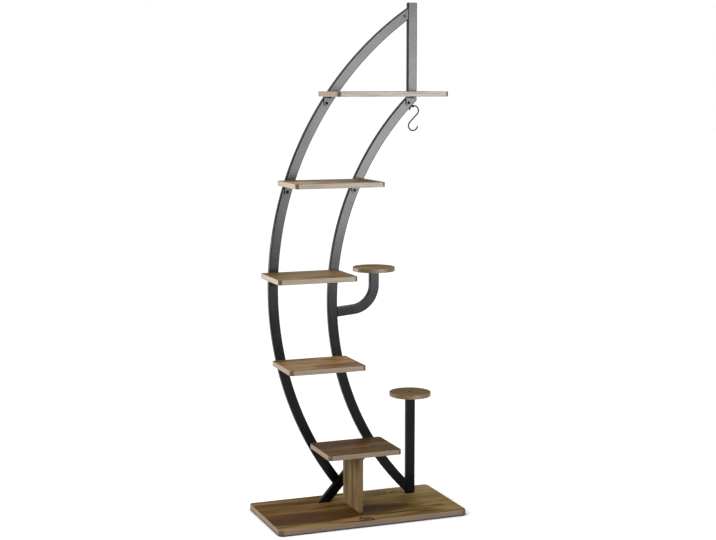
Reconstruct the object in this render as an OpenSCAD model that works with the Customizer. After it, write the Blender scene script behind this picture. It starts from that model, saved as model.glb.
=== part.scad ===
// Half-moon plant stand: two bent steel tube arcs on a wooden base board,
// five shelf boards, two round plates and a swinging S-hook.
// Origin: middle of the base board's underside. X to the right, Y to the back, Z up.

/* [Base board] */
// Length of the base board, left to right
base_l = 600; // [560:5:700]
// Depth of the base board, front to back
base_d = 305; // [290:5:360]
// Thickness of the base board
base_t = 18; // [15:1:22]
// Corner radius of the base board
base_corner_r = 14; // [4:1:30]

/* [Tubes] */
// Width of the steel tube, seen from the front
tube_w = 30; // [25:1:34]
// Depth of the steel tube, front to back
tube_d = 15; // [14:1:20]
// Wall of the steel tube
tube_wall = 1.5; // [1:0.1:2]
// Outer corner radius of the steel tube
tube_corner_r = 2.5; // [2.1:0.1:3.5]
// Front face of the tubes, behind the middle of the base
frame_y = 73; // [50:1:90]
// Overall height, to the top of the mast's cap
stand_h = 1550; // [1545:1:1620]
// Centre of the mast and of the side bar, right of the middle
upright_x = 209.5; // [195:0.5:225]

/* [Arcs] */
// Radius of the outer arc, at the middle of its tube
outer_arc_r = 1005; // [990:1:1030]
// Middle of the outer arc's tube at its leftmost point
outer_arc_left = -240.5; // [-250:0.5:-230]
// Height of the outer arc's leftmost point
outer_arc_z = 688.5; // [680:0.5:695]
// Radius of the inner arc, at the middle of its tube
inner_arc_r = 857; // [852:1:865]
// Middle of the inner arc's tube at its leftmost point
inner_arc_left = -51.5; // [-56:0.5:-46]
// Height of the inner arc's leftmost point
inner_arc_z = 645.5; // [640:0.5:650]
// From the top of the middle shelf down to the seam of each arc
seam_drop = 4; // [1:1:10]
// Half the length of the sleeve inside each seam, along the arc
sleeve_half = 22; // [18:1:26]
// Length of the spigot that carries the outer arc's top end
spigot_l = 35; // [25:1:50]

/* [Foot strut] */
// Middle of the strut's foot, at the top of the base
strut_x = -80.5; // [-95:0.5:-70]
// Slope of the strut above the horizontal
strut_a = 48; // [45:1:50]

/* [Shelves] */
// Thickness of the shelf boards
shelf_t = 15; // [12:1:18]
// Depth of the shelf boards, front to back
shelf_d = 177; // [150:1:190]
// Corner radius of the shelf boards
shelf_corner_r = 10; // [3:1:20]
// Height of the top of shelf 1, the lowest
shelf_1_z = 212; // [200:1:230]
// Length of shelf 1
shelf_1_l = 233; // [220:1:280]
// Middle of shelf 1, right of the middle of the base
shelf_1_x = -12; // [-20:1:0]
// Height of the top of shelf 2
shelf_2_z = 477; // [450:1:500]
// Length of shelf 2
shelf_2_l = 238; // [225:1:280]
// Middle of shelf 2
shelf_2_x = -129; // [-135:1:-120]
// Height of the top of shelf 3
shelf_3_z = 745; // [720:1:765]
// Length of shelf 3
shelf_3_l = 245; // [235:1:280]
// Middle of shelf 3
shelf_3_x = -159; // [-165:1:-152]
// Height of the top of shelf 4
shelf_4_z = 1020; // [1000:1:1040]
// Length of shelf 4
shelf_4_l = 278; // [265:1:320]
// Middle of shelf 4
shelf_4_x = -89; // [-95:1:-80]
// Height of the top of shelf 5, the highest
shelf_5_z = 1283; // [1275:1:1300]
// Length of shelf 5
shelf_5_l = 350; // [330:1:390]
// Middle of shelf 5
shelf_5_x = 76.5; // [70:0.5:84]

/* [Post] */
// Thickness of the wooden post under shelf 1
post_t = 15; // [13:1:18]
// Depth of the post, front to back
post_d = 138; // [110:1:150]
// Radius of the post's upright corners
post_corner_r = 3; // [1:0.5:6]

/* [Round plates] */
// Diameter of the round plates
plate_dia = 130; // [110:1:150]
// Thickness of the round plates
plate_t = 12; // [10:1:15]
// Height of the top of the lower plate
lower_plate_z = 345; // [300:1:380]
// Height of the top of the upper plate
upper_plate_z = 746.5; // [735:0.5:780]
// Centre of the upper plate, right of the middle
upper_plate_x = 86; // [75:1:100]

/* [Plate arm] */
// Radius of the arm's bend, at the middle of its tube
arm_bend_r = 74; // [60:1:80]
// Height at which the arm's bend ends and its upright part starts
arm_bend_z = 692; // [680:1:700]
// Slope of the arm's long part above the horizontal
arm_rise = 5; // [0:1:10]

/* [Brackets] */
// Width of the shelf brackets
bracket_w = 16; // [14:1:22]
// Thickness of the shelf brackets
bracket_t = 3; // [2:0.5:4]
// Length of a bracket's leg on the tube
bracket_drop = 29; // [28:1:32]
// Length of a bracket's leg under the shelf
bracket_reach = 44; // [40:1:52]
// From the underside of a shelf down to the bracket's bolt
bolt_drop = 20; // [18:1:20]
// From the tube to the nearer wood screw of a bracket
wood_screw_near = 15; // [13:1:18]
// From the tube to the farther wood screw of a bracket
wood_screw_far = 33; // [30:1:36]

/* [S-hook] */
// Wire of the S-hook
hook_wire = 4; // [3:0.5:4.5]
// Radius of the S-hook's loops, at the middle of the wire
hook_r = 15; // [14:0.5:16]
// Distance between the centres of the S-hook's two loops
hook_span = 46; // [42:1:60]
// Lean of the S-hook as it hangs
hook_lean = 3.6; // [0:0.1:5]
// How far each loop turns past its own side
hook_wrap = 172; // [150:1:176]
// Wire of the hook's eye
eye_wire = 3; // [2.5:0.5:3.5]
// Inside width of the hook's eye, front to back
eye_gap = 6; // [5:0.5:7]
// From the tube's face to the middle of the eye's bar
eye_stand = 8.8; // [8.5:0.1:12]
// From the underside of the top shelf down to the eye's bar
eye_drop = 33; // [30:1:40]

/* [Fasteners] */
// Thread of the bolts that hold the brackets
bracket_bolt_d = 5; // [4:0.5:6]
// Thread of the bolts that hold the tubes to the base
base_bolt_d = 6; // [5:1:8]
// Thread of the screws that hold the round plates
plate_screw_d = 6; // [5:0.5:6]
// Shank of the wood screws under the shelves
wood_screw_d = 4; // [3:0.5:4.5]
// Length of the wood screws under the shelves
wood_screw_l = 14; // [10:1:14]
// Shank of the screws that hold the post to the base
post_screw_d = 4.5; // [4:0.5:5]
// Length of the screws that hold the post to the base
post_screw_l = 50; // [40:1:60]
// Diameter of the dowels between the post and shelf 1
dowel_d = 8; // [6:1:8]
// Length of the dowels
dowel_l = 30; // [24:1:34]
// Thread of the set screws in the arcs' sleeves and spigot
sleeve_screw_d = 4; // [3:0.5:5]

/* [Hidden] */
$fn = 48;
arc_fn = 720;
wire_fn = 24;

// Clearance of a piece that slides into a tube
slide_gap = 0.2;
// Clearance of a bolt or screw in a plain hole, across the diameter
hole_gap = 0.5;
// Extra length of a cutting shape past the faces that it cuts
cut = 5;
// How much wider than a tube or wire its weld beads are
bead = 0.04;

wood_colour = [0.47, 0.36, 0.24];
steel_colour = [0.10, 0.10, 0.11];
zinc_colour = [0.70, 0.70, 0.72];
plastic_colour = [0.05, 0.05, 0.05];
dowel_colour = [0.78, 0.66, 0.47];

shelf_z = [shelf_1_z, shelf_2_z, shelf_3_z, shelf_4_z, shelf_5_z];
shelf_l = [shelf_1_l, shelf_2_l, shelf_3_l, shelf_4_l, shelf_5_l];
shelf_x = [shelf_1_x, shelf_2_x, shelf_3_x, shelf_4_x, shelf_5_x];
shelf_count = len(shelf_z);
middle_shelf = 2;
top_shelf = shelf_count - 1;

frame_mid = frame_y + tube_d / 2;
frame_back = frame_y + tube_d;
upright_left = upright_x - tube_w / 2;

// An arc is held as its radius and the X and Z of its centre
outer_arc = [outer_arc_r, outer_arc_left + outer_arc_r, outer_arc_z];
inner_arc = [inner_arc_r, inner_arc_left + inner_arc_r, inner_arc_z];
arcs = [outer_arc, inner_arc];

// Place on an arc at a height, and angle above its leftmost point
function arc_x(arc, z, out = 0) = arc[1] - sqrt((arc[0] + out) ^ 2 - (z - arc[2]) ^ 2);
function arc_angle(arc, z) = asin((z - arc[2]) / arc[0]);
// Height of the upper or lower crossing of an arc with an upright line
function arc_rise(arc, x, out = 0) = sqrt((arc[0] + out) ^ 2 - (x - arc[1]) ^ 2);
// Degrees of an arc that a length along it covers
function arc_span(arc, l) = l / arc[0] * 180 / PI;

seam_z = shelf_z[middle_shelf] - seam_drop;

// The mitre between the mast and the inner arc runs from the outer corner to the inner one
mitre_left_z = inner_arc[2] + arc_rise(inner_arc, upright_left, tube_w / 2);
mitre_right_z = inner_arc[2] + arc_rise(inner_arc, upright_left + tube_w, -tube_w / 2);
mitre_a = atan2(mitre_left_z - mitre_right_z, tube_w);

cap_flange = 2.5;
cap_plug_l = 18;
cap_plug_wall = 2;

foot_insert_h = 15;
foot_bolt_l = base_t + foot_insert_h - 3;
bolt_recess = 0.8;
// A screw's head, as a share of its thread
csk_ratio = 1.9;
button_ratio = 1.9;
button_h_ratio = 0.55;
pan_ratio = 2;
pan_h_ratio = 0.6;

plate_insert_l = 12;
plate_screw_l = plate_t + plate_insert_l - 2;

rivet_rim = 2;
rivet_wall = 1;
rivet_flange_d = bracket_bolt_d + 2 * rivet_rim;
rivet_flange_t = 0.8;
rivet_body_d = bracket_bolt_d + 2 * rivet_wall;
rivet_l = 9;
bolt_head_d = bracket_bolt_d * button_ratio;
bolt_head_h = bracket_bolt_d * button_h_ratio;
bracket_back = frame_y - rivet_flange_t;

screw_head_d = wood_screw_d * pan_ratio;
screw_head_h = wood_screw_d * pan_h_ratio;

sleeve_wall = 2;
sleeve_screw_spot = 12;
sleeve_screw_l = tube_wall + slide_gap + sleeve_wall;
sleeve_screw_head_h = 1.6;
sleeve_screw_end = 1;
spigot_screw_spot = 11;

post_x = shelf_1_x;
post_back = frame_y;
post_front = post_back - post_d;
post_h = shelf_1_z - shelf_t - base_t;
post_fixings_y = [post_front + post_d / 4, post_back - post_d / 4];
dowel_cover = 5;
dowel_in_shelf = shelf_t - dowel_cover;

inner_w = tube_w - 2 * tube_wall;
inner_d = tube_d - 2 * tube_wall;
inner_corner_r = tube_corner_r - tube_wall;

// The hook hangs still: its middle is straight below the eye's bar
eye_z = shelf_z[top_shelf] - shelf_t - eye_drop;
eye_x = arc_x(inner_arc, eye_z, -tube_w / 2 - eye_stand);
hook_play = 0.3;
hang_r = hook_r - hook_wire / 2 - eye_wire / 2 - hook_play;
hang_a = asin(hook_span / 2 / hang_r * sin(hook_lean));
hook_mid_z = eye_z - hang_r * cos(hang_a) - hook_span / 2 * cos(hook_lean);

// Rounded rectangle about the origin
module rounded_rect(w, d, r) {
    square([w - 2 * r, d], center = true);
    square([w, d - 2 * r], center = true);
    for (x = [-1, 1], y = [-1, 1])
        translate([x * (w / 2 - r), y * (d / 2 - r)]) circle(r);
}

// Section of the tube and of its bore, and of what slides into it with chamfered corners
module tube_section() {
    difference() {
        rounded_rect(tube_w, tube_d, tube_corner_r);
        bore_section();
    }
}

module bore_section() {
    rounded_rect(inner_w, inner_d, inner_corner_r);
}

module slide_section() {
    x = inner_w / 2 - slide_gap;
    y = inner_d / 2 - slide_gap;
    c = inner_corner_r;
    polygon([[x, y - c], [x - c, y], [c - x, y], [-x, y - c],
        [-x, c - y], [c - x, -y], [x - c, -y], [x, c - y]]);
}

module sleeve_section() {
    difference() {
        slide_section();
        square([inner_w - 2 * slide_gap - 2 * sleeve_wall,
            inner_d - 2 * slide_gap - 2 * sleeve_wall], center = true);
    }
}

// Sweeps a section along an arc, from a lower to a higher angle above its leftmost point
module along_arc(arc, low_a, high_a) {
    translate([arc[1], frame_mid, arc[2]])
        rotate([90, 0, 0])
            rotate([0, 0, 180 - high_a])
                rotate_extrude(angle = high_a - low_a, $fn = arc_fn)
                    translate([arc[0], 0]) children();
}

// Stands a section up from a height, over a length
module upright(x, z, l) {
    translate([x, frame_mid, z])
        linear_extrude(height = l) children();
}

// Everything above the mitre line of the mast, and everything below it
module above_mitre(side = 0) {
    translate([upright_left, frame_y - cut, mitre_left_z])
        rotate([0, mitre_a, 0])
            translate([-3 * tube_w, 0, -side * 7 * tube_w])
                cube([7 * tube_w, tube_d + 2 * cut, 7 * tube_w]);
}

module below_mitre() {
    above_mitre(1);
}

// Everything to the right of the left face of the mast and side bar
module right_of_uprights(z) {
    translate([upright_left, frame_y - cut, z - 4 * tube_w])
        cube([8 * tube_w, tube_d + 2 * cut, 8 * tube_w]);
}

// A board with rounded upright corners and its top at a height
module board(l, d, t, r, x, y, top_z) {
    translate([x, y, top_z - t])
        linear_extrude(height = t) rounded_rect(l, d, r);
}

// Countersunk hole or screw pointing up from a face below
module csk(d, l, head_d, recess) {
    cylinder(h = recess, d = head_d);
    translate([0, 0, recess]) cylinder(h = (head_d - d) / 2, d1 = head_d, d2 = d);
    translate([0, 0, recess]) cylinder(h = l - recess, d = d);
}

module csk_screw(d, l, head_d) {
    cylinder(h = (head_d - d) / 2, d1 = head_d, d2 = d);
    cylinder(h = l, d = d);
}

// Places of the bracket bolts: one under each shelf on each arc
function bolt_z(i) = shelf_z[i] - shelf_t - bolt_drop;
function bolt_x(i, side) = arc_x(arcs[side], bolt_z(i));

module at_bracket_bolts(low_z = 0, high_z = stand_h, sides = [0, 1]) {
    for (i = [0 : shelf_count - 1], side = sides)
        if (bolt_z(i) > low_z && bolt_z(i) < high_z)
            translate([bolt_x(i, side), frame_y, bolt_z(i)])
                rotate([-90, 0, 0]) children();
}

// Places of the wood screws under one shelf
module at_wood_screws(i) {
    for (side = [0, 1], reach = [wood_screw_near, wood_screw_far])
        translate([bolt_x(i, side), frame_y - reach, shelf_z[i] - shelf_t]) children();
}

// Places of the two screws that hold each sleeve from the back
module at_sleeve_screws(side) {
    arc = arcs[side];
    seam_a = arc_angle(arc, seam_z);
    for (way = [-1, 1]) {
        a = seam_a + way * arc_span(arc, sleeve_screw_spot);
        translate([arc[1] - arc[0] * cos(a), frame_back, arc[2] + arc[0] * sin(a)])
            rotate([90, 0, 0]) children();
    }
}

// Place of the screw in the front of the outer arc's top end
module at_spigot_screw() {
    x = upright_left - spigot_screw_spot;
    translate([x, frame_y, outer_arc[2] + arc_rise(outer_arc, x)])
        rotate([-90, 0, 0]) children();
}

// Places of the base bolts, on the underside of the base
module at_base_bolts() {
    translate([upright_x, frame_mid, 0]) children();
    translate([strut_x + foot_insert_h / 2 / tan(strut_a), frame_mid, 0]) children();
}

module at_post_fixings(z) {
    for (y = post_fixings_y) translate([post_x, y, z]) children();
}

module base_board() {
    color(wood_colour) difference() {
        board(base_l, base_d, base_t, base_corner_r, 0, 0, base_t);
        at_base_bolts() translate([0, 0, -cut])
            csk(base_bolt_d + hole_gap, base_t + 2 * cut,
                base_bolt_d * csk_ratio + hole_gap, bolt_recess + cut);
        at_post_fixings(-cut)
            csk(post_screw_d + hole_gap, base_t + 2 * cut,
                post_screw_d * csk_ratio + hole_gap, bolt_recess + cut);
    }
}

module shelf(i) {
    color(wood_colour) difference() {
        board(shelf_l[i], shelf_d, shelf_t, shelf_corner_r,
            shelf_x[i], frame_y - shelf_d / 2, shelf_z[i]);
        at_wood_screws(i) translate([0, 0, -cut])
            cylinder(h = wood_screw_l - bracket_t + cut, d = wood_screw_d);
        if (i == 0) at_post_fixings(shelf_z[i] - shelf_t - cut)
            cylinder(h = dowel_in_shelf + cut, d = dowel_d);
    }
}

module post_board() {
    color(wood_colour) difference() {
        board(post_t, post_d, post_h, post_corner_r, post_x, post_front + post_d / 2, base_t + post_h);
        at_post_fixings(base_t - cut)
            cylinder(h = post_screw_l - (base_t - bolt_recess) + cut, d = post_screw_d);
        at_post_fixings(base_t + post_h - dowel_l + dowel_in_shelf)
            cylinder(h = dowel_l, d = dowel_d);
    }
}

module round_plate(x, top_z) {
    color(wood_colour) difference() {
        translate([x, frame_mid, top_z - plate_t]) cylinder(h = plate_t, d = plate_dia, $fn = 144);
        translate([x, frame_mid, top_z + cut]) mirror([0, 0, 1])
            csk(plate_screw_d + hole_gap, plate_t + 2 * cut,
                plate_screw_d * csk_ratio + hole_gap, bolt_recess + cut);
    }
}

module mast() {
    color(steel_colour) difference() {
        upright(upright_x, mitre_right_z - cut, stand_h - cap_flange - mitre_right_z + cut)
            tube_section();
        below_mitre();
    }
}

module mast_cap() {
    color(plastic_colour) difference() {
        union() {
            upright(upright_x, stand_h - cap_flange, cap_flange)
                rounded_rect(tube_w, tube_d, tube_corner_r);
            upright(upright_x, stand_h - cap_flange - cap_plug_l, cap_plug_l) slide_section();
        }
        upright(upright_x, stand_h - cap_flange - cap_plug_l - cut, cap_plug_l + cut)
            square([inner_w - 2 * slide_gap - 2 * cap_plug_wall,
                inner_d - 2 * slide_gap - 2 * cap_plug_wall], center = true);
    }
}

module side_bar() {
    color(steel_colour)
        upright(upright_x, base_t, lower_plate_z - plate_t - base_t) tube_section();
}

module outer_arc_upper() {
    seam_a = arc_angle(outer_arc, seam_z);
    end_a = acos((outer_arc[1] - upright_left - tube_w) / outer_arc[0]);
    color(steel_colour) difference() {
        along_arc(outer_arc, seam_a, end_a) tube_section();
        right_of_uprights(outer_arc[2] + arc_rise(outer_arc, upright_left));
        at_bracket_bolts(seam_z, stand_h, [0]) tube_wall_hole(rivet_body_d);
        at_sleeve_screws(0) tube_wall_hole(sleeve_screw_d + hole_gap);
        at_spigot_screw() tube_wall_hole(sleeve_screw_d + hole_gap);
    }
}

module outer_arc_lower() {
    seam_a = arc_angle(outer_arc, seam_z);
    end_a = arc_angle(outer_arc, base_t);
    color(steel_colour) difference() {
        along_arc(outer_arc, end_a, seam_a) tube_section();
        strut_space();
        at_bracket_bolts(0, seam_z, [0]) tube_wall_hole(rivet_body_d);
        at_sleeve_screws(0) tube_wall_hole(sleeve_screw_d + hole_gap);
    }
}

module inner_arc_upper() {
    seam_a = arc_angle(inner_arc, seam_z);
    end_a = acos((inner_arc[1] - upright_left - 2 * tube_w) / inner_arc[0]);
    color(steel_colour) difference() {
        along_arc(inner_arc, seam_a, end_a) tube_section();
        above_mitre();
        at_bracket_bolts(seam_z, stand_h, [1]) tube_wall_hole(rivet_body_d);
        at_sleeve_screws(1) tube_wall_hole(sleeve_screw_d + hole_gap);
    }
}

module inner_arc_lower() {
    seam_a = arc_angle(inner_arc, seam_z);
    end_a = -acos((inner_arc[1] - upright_left - tube_w) / inner_arc[0]);
    color(steel_colour) difference() {
        along_arc(inner_arc, end_a, seam_a) tube_section();
        right_of_uprights(inner_arc[2] - arc_rise(inner_arc, upright_left));
        at_bracket_bolts(0, seam_z, [1]) tube_wall_hole(rivet_body_d);
        at_sleeve_screws(1) tube_wall_hole(sleeve_screw_d + hole_gap);
    }
}

// Hole through one wall of a tube, from the face that the caller stands on
module tube_wall_hole(d) {
    translate([0, 0, -cut]) cylinder(h = cut + tube_wall + slide_gap, d = d);
}

// The strut's sloping run: a section swept along its middle line
module along_strut(l) {
    translate([strut_x, frame_mid, base_t])
        rotate([0, 90 - strut_a, 0])
            translate([0, 0, -2 * tube_w])
                linear_extrude(height = l + 2 * tube_w) children();
}

// Everything on the strut's side of its upper left face
module strut_space() {
    translate([strut_x, frame_y - cut, base_t])
        rotate([0, 90 - strut_a, 0])
            translate([-tube_w / 2, 0, -6 * tube_w])
                cube([12 * tube_w, tube_d + 2 * cut, 18 * tube_w]);
}

// Round space to the right of the inner arc's outer or inner face
module inside_inner_arc(out) {
    translate([inner_arc[1], frame_y - cut, inner_arc[2]])
        rotate([-90, 0, 0])
            cylinder(h = tube_d + 2 * cut, r = inner_arc[0] + out, $fn = arc_fn);
}

module foot_strut() {
    color(steel_colour) difference() {
        along_strut(10 * tube_w) tube_section();
        translate([strut_x - 4 * tube_w, frame_y - cut, base_t - 4 * tube_w])
            cube([8 * tube_w, tube_d + 2 * cut, 4 * tube_w]);
        inside_inner_arc(tube_w / 2);
    }
}

// The arm's route: a sloping run out of the inner arc, a bend and an upright run.
// A hair of a weld bead runs round each end of the bend.
module arm_route(w, d, r) {
    bead_l = 1;
    translate([upper_plate_x - arm_bend_r, frame_mid, arm_bend_z]) {
        translate([arm_bend_r, 0, 0]) {
            linear_extrude(height = upper_plate_z - plate_t - arm_bend_z) rounded_rect(w, d, r);
            translate([0, 0, -bead_l / 2]) linear_extrude(height = bead_l)
                rounded_rect(w + bead, d + bead, r + bead / 2);
        }
        rotate([90, 0, 0]) rotate_extrude(angle = arm_rise - 90, $fn = 180)
            translate([arm_bend_r, 0]) rounded_rect(w, d, r);
        rotate([0, -90 - arm_rise, 0]) translate([-arm_bend_r, 0, 0]) {
            linear_extrude(height = 4 * tube_w) rounded_rect(w, d, r);
            translate([0, 0, -bead_l / 2]) linear_extrude(height = bead_l)
                rounded_rect(w + bead, d + bead, r + bead / 2);
        }
    }
}

module plate_arm() {
    color(steel_colour) intersection() {
        difference() {
            arm_route(tube_w, tube_d, tube_corner_r);
            arm_route(inner_w, inner_d, inner_corner_r);
        }
        inside_inner_arc(-tube_w / 2);
    }
}

module arc_sleeve(side) {
    arc = arcs[side];
    seam_a = arc_angle(arc, seam_z);
    half_a = arc_span(arc, sleeve_half);
    color(zinc_colour) difference() {
        along_arc(arc, seam_a - half_a, seam_a + half_a) sleeve_section();
        at_sleeve_screws(side) cylinder(h = sleeve_screw_l + sleeve_screw_end, d = sleeve_screw_d);
    }
}

module arc_spigot() {
    z = outer_arc[2] + arc_rise(outer_arc, upright_left);
    root_a = arc_angle(outer_arc, z);
    color(zinc_colour) difference() {
        along_arc(outer_arc, root_a - arc_span(outer_arc, spigot_l), root_a + 2) sleeve_section();
        right_of_uprights(z);
        at_spigot_screw() cylinder(h = sleeve_screw_l + sleeve_screw_end, d = sleeve_screw_d);
    }
}

// Flat-headed machine screw standing into the face that the caller stands on
module flat_screw() {
    translate([0, 0, -sleeve_screw_head_h])
        cylinder(h = sleeve_screw_head_h, d = sleeve_screw_d * 2);
    cylinder(h = sleeve_screw_l, d = sleeve_screw_d);
}

module sleeve_screws() {
    color(zinc_colour) for (side = [0, 1]) at_sleeve_screws(side) flat_screw();
}

module spigot_screw() {
    color(steel_colour) at_spigot_screw() flat_screw();
}

// An L of flat steel with round ends, one leg on the tube and one under the shelf
module shelf_bracket(i, side) {
    under_z = shelf_z[i] - shelf_t;
    color(steel_colour) translate([bolt_x(i, side), bracket_back, under_z]) difference() {
        union() {
            translate([-bracket_w / 2, -bracket_t, -bracket_drop + bracket_w / 2])
                cube([bracket_w, bracket_t, bracket_drop - bracket_w / 2]);
            translate([0, 0, -bracket_drop + bracket_w / 2]) rotate([90, 0, 0])
                cylinder(h = bracket_t, d = bracket_w);
            translate([-bracket_w / 2, -bracket_reach + bracket_w / 2, -bracket_t])
                cube([bracket_w, bracket_reach - bracket_w / 2, bracket_t]);
            translate([0, -bracket_reach + bracket_w / 2, -bracket_t])
                cylinder(h = bracket_t, d = bracket_w);
        }
        translate([0, cut, -bolt_drop]) rotate([90, 0, 0])
            cylinder(h = bracket_t + 2 * cut, d = bracket_bolt_d + hole_gap);
        for (reach = [wood_screw_near, wood_screw_far])
            translate([0, rivet_flange_t - reach, -bracket_t - cut])
                cylinder(h = bracket_t + 2 * cut, d = wood_screw_d + hole_gap);
    }
}

// Button-headed bolts through the brackets, into the rivet nuts
module bracket_bolts() {
    color(steel_colour) at_bracket_bolts() translate([0, 0, -rivet_flange_t - bracket_t]) {
        translate([0, 0, -bolt_head_h]) cylinder(h = bolt_head_h, d = bolt_head_d);
        cylinder(h = bracket_t + rivet_flange_t + rivet_l - 1, d = bracket_bolt_d);
    }
}

module rivet_nuts() {
    color(zinc_colour) at_bracket_bolts() difference() {
        union() {
            translate([0, 0, -rivet_flange_t]) cylinder(h = rivet_flange_t, d = rivet_flange_d);
            cylinder(h = rivet_l, d = rivet_body_d);
        }
        translate([0, 0, -cut]) cylinder(h = rivet_l + 2 * cut, d = bracket_bolt_d);
    }
}

module shelf_screws() {
    color(zinc_colour) for (i = [0 : shelf_count - 1])
        at_wood_screws(i) translate([0, 0, -bracket_t]) {
            translate([0, 0, -screw_head_h]) cylinder(h = screw_head_h, d = screw_head_d);
            cylinder(h = wood_screw_l, d = wood_screw_d);
        }
}

// Tapped blocks welded inside the feet of the side bar and the strut
module foot_inserts() {
    color(zinc_colour) difference() {
        union() {
            upright(upright_x, base_t, foot_insert_h) slide_section();
            intersection() {
                along_strut(3 * tube_w) slide_section();
                translate([strut_x - 3 * tube_w, frame_y - cut, base_t])
                    cube([6 * tube_w, tube_d + 2 * cut, foot_insert_h]);
            }
        }
        at_base_bolts() cylinder(h = base_t + foot_insert_h + cut, d = base_bolt_d);
    }
}

module base_bolts() {
    color(zinc_colour) at_base_bolts() translate([0, 0, bolt_recess])
        csk_screw(base_bolt_d, foot_bolt_l, base_bolt_d * csk_ratio);
}

// Tapped blocks inside the tops of the side bar and the plate arm
module plate_inserts() {
    color(zinc_colour) for (spot = [[upright_x, lower_plate_z], [upper_plate_x, upper_plate_z]])
        difference() {
            upright(spot[0], spot[1] - plate_t - plate_insert_l, plate_insert_l) slide_section();
            upright(spot[0], spot[1] - plate_t - plate_insert_l - cut, plate_insert_l + 2 * cut)
                circle(d = plate_screw_d);
        }
}

module plate_screws() {
    color(steel_colour) for (spot = [[upright_x, lower_plate_z], [upper_plate_x, upper_plate_z]])
        translate([spot[0], frame_mid, spot[1] - bolt_recess]) mirror([0, 0, 1])
            csk_screw(plate_screw_d, plate_screw_l, plate_screw_d * csk_ratio);
}

module post_dowels() {
    color(dowel_colour) at_post_fixings(base_t + post_h + dowel_in_shelf - dowel_l)
        cylinder(h = dowel_l, d = dowel_d);
}

module post_screws() {
    color(zinc_colour) at_post_fixings(bolt_recess)
        csk_screw(post_screw_d, post_screw_l, post_screw_d * csk_ratio);
}

// A staple of wire under the inner arc, with its bar running front to back
module hook_eye() {
    leg_y = eye_gap / 2 + eye_wire / 2;
    toward_arc = atan2(eye_z - inner_arc[2], inner_arc[1] - eye_x);
    color(steel_colour) translate([eye_x, frame_mid, eye_z]) {
        rotate([90, 0, 0]) cylinder(h = 2 * leg_y, d = eye_wire, center = true);
        for (side = [-1, 1]) translate([0, side * leg_y, 0]) {
            sphere(d = eye_wire);
            rotate([0, toward_arc - 90, 0]) cylinder(h = eye_stand, d = eye_wire);
        }
    }
}

// Half of the S: a loop with its round tip, and a hair of a bead where the straight wire starts
module hook_half() {
    cross_a = asin(2 * hook_r / hook_span);
    translate([0, 0, hook_span / 2]) {
        rotate([90, 0, 0]) rotate([0, 0, -cross_a])
            rotate_extrude(angle = cross_a + hook_wrap, $fn = 90)
                translate([hook_r, 0]) circle(d = hook_wire, $fn = wire_fn);
        translate([hook_r * cos(hook_wrap), 0, hook_r * sin(hook_wrap)])
            sphere(d = hook_wire + bead, $fn = wire_fn);
        translate([hook_r * cos(cross_a), 0, -hook_r * sin(cross_a)])
            sphere(d = hook_wire + bead, $fn = wire_fn);
    }
}

module s_hook() {
    cross_a = asin(2 * hook_r / hook_span);
    cross_l = hook_span * cos(cross_a);
    color(steel_colour) translate([eye_x, frame_mid, hook_mid_z]) rotate([0, hook_lean, 0]) {
        hook_half();
        rotate([0, 180, 0]) hook_half();
        rotate([0, cross_a, 0]) cylinder(h = cross_l, d = hook_wire, center = true, $fn = wire_fn);
    }
}

base_board();
shelf(0);  // shelf_1
shelf(1);  // shelf_2
shelf(2);  // shelf_3
shelf(3);  // shelf_4
shelf(4);  // shelf_5
post_board();
round_plate(upper_plate_x, upper_plate_z);  // upper_plate
round_plate(upright_x, lower_plate_z);  // lower_plate
mast();
mast_cap();
side_bar();
outer_arc_upper();
outer_arc_lower();
inner_arc_upper();
inner_arc_lower();
foot_strut();
plate_arm();
arc_sleeve(0);  // outer_arc_sleeve
arc_sleeve(1);  // inner_arc_sleeve
arc_spigot();
sleeve_screws();
spigot_screw();
shelf_bracket(0, 0);  // shelf_1_left_bracket
shelf_bracket(0, 1);  // shelf_1_right_bracket
shelf_bracket(1, 0);  // shelf_2_left_bracket
shelf_bracket(1, 1);  // shelf_2_right_bracket
shelf_bracket(2, 0);  // shelf_3_left_bracket
shelf_bracket(2, 1);  // shelf_3_right_bracket
shelf_bracket(3, 0);  // shelf_4_left_bracket
shelf_bracket(3, 1);  // shelf_4_right_bracket
shelf_bracket(4, 0);  // shelf_5_left_bracket
shelf_bracket(4, 1);  // shelf_5_right_bracket
bracket_bolts();
rivet_nuts();
shelf_screws();
foot_inserts();
base_bolts();
plate_inserts();
plate_screws();
post_dowels();
post_screws();
hook_eye();
s_hook();
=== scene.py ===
import math
import bmesh
import bpy
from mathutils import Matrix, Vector


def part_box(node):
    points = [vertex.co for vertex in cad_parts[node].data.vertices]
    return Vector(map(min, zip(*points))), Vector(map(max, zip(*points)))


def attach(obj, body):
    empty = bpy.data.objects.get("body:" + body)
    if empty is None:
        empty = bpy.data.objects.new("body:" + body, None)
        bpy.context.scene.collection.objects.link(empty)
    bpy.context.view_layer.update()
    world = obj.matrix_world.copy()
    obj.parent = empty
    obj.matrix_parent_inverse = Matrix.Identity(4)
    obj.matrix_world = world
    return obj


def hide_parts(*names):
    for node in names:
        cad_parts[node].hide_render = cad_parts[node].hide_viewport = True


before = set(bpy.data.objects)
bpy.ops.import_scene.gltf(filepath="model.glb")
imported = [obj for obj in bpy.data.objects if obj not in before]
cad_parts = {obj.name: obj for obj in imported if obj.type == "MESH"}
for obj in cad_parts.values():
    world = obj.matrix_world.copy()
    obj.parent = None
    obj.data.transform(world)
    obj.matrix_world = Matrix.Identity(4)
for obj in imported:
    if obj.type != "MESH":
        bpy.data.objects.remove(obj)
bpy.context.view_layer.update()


# Base board: an 18 mm wood board with rounded corners, faced above and below with a brown
# rustic wood grain and closed round its rim with a paler glued band. Bolts and screws come
# up through countersunk holes from beneath.
base_corner = 0.014
band_thick = 0.0010
rim_ease = 0.0008
joint_line = 0.0001
corner_lead = 0.0022


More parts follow.
